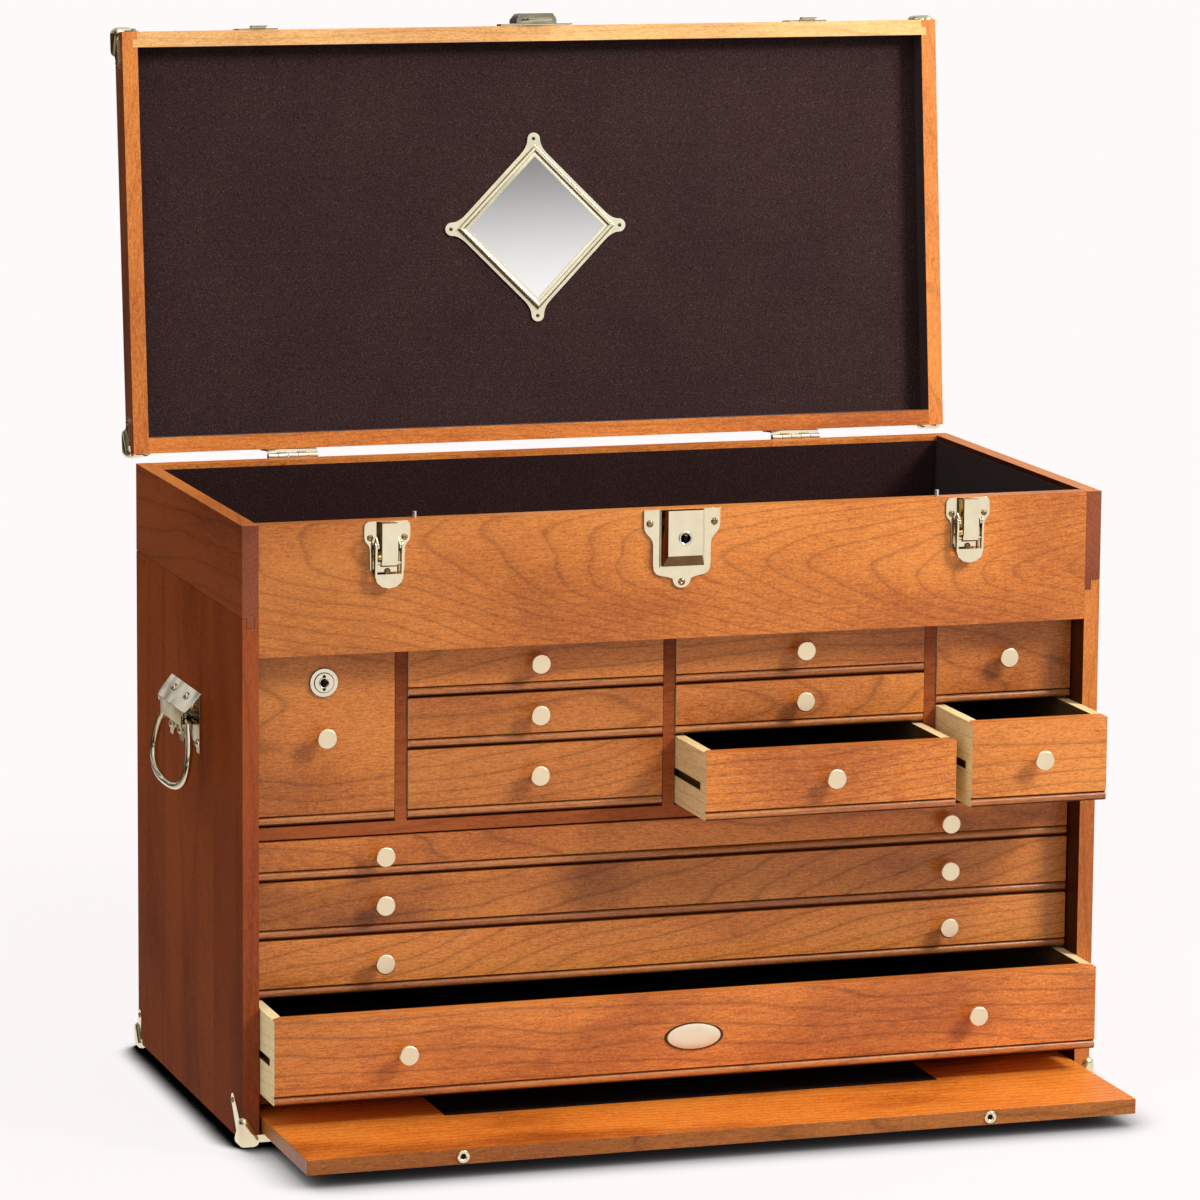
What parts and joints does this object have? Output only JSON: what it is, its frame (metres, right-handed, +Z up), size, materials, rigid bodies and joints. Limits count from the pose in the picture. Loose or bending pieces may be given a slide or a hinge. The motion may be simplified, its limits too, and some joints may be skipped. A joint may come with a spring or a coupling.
{
  "type": "carpenters tool chest",
  "caption": "Carpenter's tool chest with a hinged mirrored lid, a lined till, small and wide drawers on wooden runners, a front panel stored in its slot, draw latches, a lock and side handles.",
  "frame": {"origin": "centre of the footprint on the surface that the corner guards stand on", "axes": "+X to the right along the front, +Y from the front to the back, +Z up"},
  "size_m": [0.7386, 0.5422, 0.8378],
  "materials": {
    "cherry": "satin lacquer over cherry, with pale maple drawer sides and dark felt linings",
    "brass": "polished pale brass plate",
    "nickel": "polished nickel plate",
    "mirror": "silvered glass"
  },
  "bodies": {
    "case": {"left_side": "cherry", "right_side": "cherry", "back_board": "cherry", "front_board": "cherry", "drawer_frame": "cherry", "slot_frame": "cherry", "latch_plate_left": "brass", "latch_plate_right": "brass", "lock_case": "brass", "handle_bracket_left": "nickel", "handle_bracket_right": "nickel", "hinge_leaf_left": "brass", "hinge_leaf_right": "brass"},
    "lid": {"lid_case": "cherry", "lid_leaf_left": "brass", "lid_leaf_right": "brass", "mirror_frame": "brass", "mirror_glass": "mirror", "lock_hasp": "brass"},
    "till_drawer": {"till_drawer": "cherry", "till_drawer_knob": "brass"},
    "left_column_bottom_drawer": {"left_column_bottom_drawer": "cherry", "left_column_bottom_drawer_knob": "brass"},
    "left_column_middle_drawer": {"left_column_middle_drawer": "cherry", "left_column_middle_drawer_knob": "brass"},
    "left_column_top_drawer": {"left_column_top_drawer": "cherry", "left_column_top_drawer_knob": "brass"},
    "right_column_bottom_drawer": {"right_column_bottom_drawer": "cherry", "right_column_bottom_drawer_knob": "brass"},
    "right_column_middle_drawer": {"right_column_middle_drawer": "cherry", "right_column_middle_drawer_knob": "brass"},
    "right_column_top_drawer": {"right_column_top_drawer": "cherry", "right_column_top_drawer_knob": "brass"},
    "end_lower_drawer": {"end_lower_drawer": "cherry", "end_lower_drawer_knob": "brass"},
    "end_upper_drawer": {"end_upper_drawer": "cherry", "end_upper_drawer_knob": "brass"},
    "deep_drawer": {"deep_drawer": "cherry", "deep_drawer_knob_left": "brass", "deep_drawer_knob_right": "brass"},
    "wide_drawer_bottom": {"wide_drawer_bottom": "cherry", "wide_drawer_bottom_knob_left": "brass", "wide_drawer_bottom_knob_right": "brass"},
    "wide_drawer_middle": {"wide_drawer_middle": "cherry", "wide_drawer_middle_knob_left": "brass", "wide_drawer_middle_knob_right": "brass"},
    "wide_drawer_top": {"wide_drawer_top": "cherry", "wide_drawer_top_knob_left": "brass", "wide_drawer_top_knob_right": "brass"},
    "front_panel": {"front_panel": "cherry"},
    "panel_pin_left": {"panel_pin_left": "nickel"},
    "latch_lever_left": {"latch_lever_left": "brass"},
    "latch_hook_left": {"latch_hook_left": "brass"},
    "handle_bail_left": {"handle_bail_left": "nickel"},
    "panel_pin_right": {"panel_pin_right": "nickel"},
    "latch_lever_right": {"latch_lever_right": "brass"},
    "latch_hook_right": {"latch_hook_right": "brass"},
    "handle_bail_right": {"handle_bail_right": "nickel"},
    "lock_plug": {"lock_plug": "brass"},
    "till_lock_plug": {"till_lock_plug": "nickel"}
  },
  "joints": [
    {"name": "lid_hinge", "type": "hinge", "parent": "case", "child": "lid", "pos_m": [0, 0.1763, 0.4832], "axis": [1, 0, 0], "range_deg": [0, 95.83]},
    {"name": "till_drawer_slide", "type": "slide", "parent": "case", "child": "till_drawer", "axis": [0, -1, 0], "range_m": [0, 0.25]},
    {"name": "left_column_bottom_drawer_slide", "type": "slide", "parent": "case", "child": "left_column_bottom_drawer", "axis": [0, -1, 0], "range_m": [0, 0.25]},
    {"name": "left_column_middle_drawer_slide", "type": "slide", "parent": "case", "child": "left_column_middle_drawer", "axis": [0, -1, 0], "range_m": [0, 0.25]},
    {"name": "left_column_top_drawer_slide", "type": "slide", "parent": "case", "child": "left_column_top_drawer", "axis": [0, -1, 0], "range_m": [0, 0.25]},
    {"name": "right_column_bottom_drawer_slide", "type": "slide", "parent": "case", "child": "right_column_bottom_drawer", "axis": [0, -1, 0], "range_m": [-0.0733, 0.1767]},
    {"name": "right_column_middle_drawer_slide", "type": "slide", "parent": "case", "child": "right_column_middle_drawer", "axis": [0, -1, 0], "range_m": [0, 0.25]},
    {"name": "right_column_top_drawer_slide", "type": "slide", "parent": "case", "child": "right_column_top_drawer", "axis": [0, -1, 0], "range_m": [0, 0.25]},
    {"name": "end_lower_drawer_slide", "type": "slide", "parent": "case", "child": "end_lower_drawer", "axis": [0, -1, 0], "range_m": [-0.0786, 0.1714]},
    {"name": "end_upper_drawer_slide", "type": "slide", "parent": "case", "child": "end_upper_drawer", "axis": [0, -1, 0], "range_m": [0, 0.25]},
    {"name": "deep_drawer_slide", "type": "slide", "parent": "case", "child": "deep_drawer", "axis": [0, -1, 0], "range_m": [-0.0665, 0.1835]},
    {"name": "wide_drawer_bottom_slide", "type": "slide", "parent": "case", "child": "wide_drawer_bottom", "axis": [0, -1, 0], "range_m": [0, 0.25]},
    {"name": "wide_drawer_middle_slide", "type": "slide", "parent": "case", "child": "wide_drawer_middle", "axis": [0, -1, 0], "range_m": [0, 0.25]},
    {"name": "wide_drawer_top_slide", "type": "slide", "parent": "case", "child": "wide_drawer_top", "axis": [0, -1, 0], "range_m": [0, 0.25]},
    {"name": "front_panel_slide", "type": "slide", "parent": "case", "child": "front_panel", "axis": [0, -1, 0], "range_m": [-0.079, 0.19]},
    {"name": "panel_pin_left_slide", "type": "slide", "parent": "case", "child": "panel_pin_left", "axis": [0, 0, -1], "range_m": [0, 0.0056]},
    {"name": "latch_lever_left_swing", "type": "hinge", "parent": "case", "child": "latch_lever_left", "pos_m": [-0.2365, -0.175, 0.464], "axis": [-1, 0, 0], "range_deg": [0, 125]},
    {"name": "latch_hook_left_swing", "type": "hinge", "parent": "latch_lever_left", "child": "latch_hook_left", "pos_m": [-0.2365, -0.1754, 0.451], "axis": [-1, 0, 0], "range_deg": [-125, 0]},
    {"name": "handle_bail_left_swing", "type": "hinge", "parent": "case", "child": "handle_bail_left", "pos_m": [-0.3575, 0.005, 0.309], "axis": [0, 1, 0], "range_deg": [0, 75]},
    {"name": "panel_pin_right_slide", "type": "slide", "parent": "case", "child": "panel_pin_right", "axis": [0, 0, -1], "range_m": [0, 0.0056]},
    {"name": "latch_lever_right_swing", "type": "hinge", "parent": "case", "child": "latch_lever_right", "pos_m": [0.2365, -0.175, 0.464], "axis": [-1, 0, 0], "range_deg": [0, 125]},
    {"name": "latch_hook_right_swing", "type": "hinge", "parent": "latch_lever_right", "child": "latch_hook_right", "pos_m": [0.2365, -0.1754, 0.451], "axis": [-1, 0, 0], "range_deg": [-125, 0]},
    {"name": "handle_bail_right_swing", "type": "hinge", "parent": "case", "child": "handle_bail_right", "pos_m": [0.3575, 0.005, 0.309], "axis": [0, -1, 0], "range_deg": [0, 75]},
    {"name": "lock_plug_turn", "type": "hinge", "parent": "case", "child": "lock_plug", "pos_m": [0, -0.1775, 0.461], "axis": [0, 1, 0], "range_deg": [0, 90]},
    {"name": "till_lock_plug_turn", "type": "hinge", "parent": "till_drawer", "child": "till_lock_plug", "pos_m": [-0.27977, -0.1452, 0.3556], "axis": [0, 1, 0], "range_deg": [0, 90]}
  ],
  "couplings": [
    {"joint": "latch_hook_left_swing", "follows": "latch_lever_left_swing", "ratio": -1},
    {"joint": "panel_pin_left_slide", "follows": "lid_hinge", "m_per_rad": 0.003346},
    {"joint": "latch_hook_right_swing", "follows": "latch_lever_right_swing", "ratio": -1},
    {"joint": "panel_pin_right_slide", "follows": "lid_hinge", "m_per_rad": 0.003346}
  ]
}
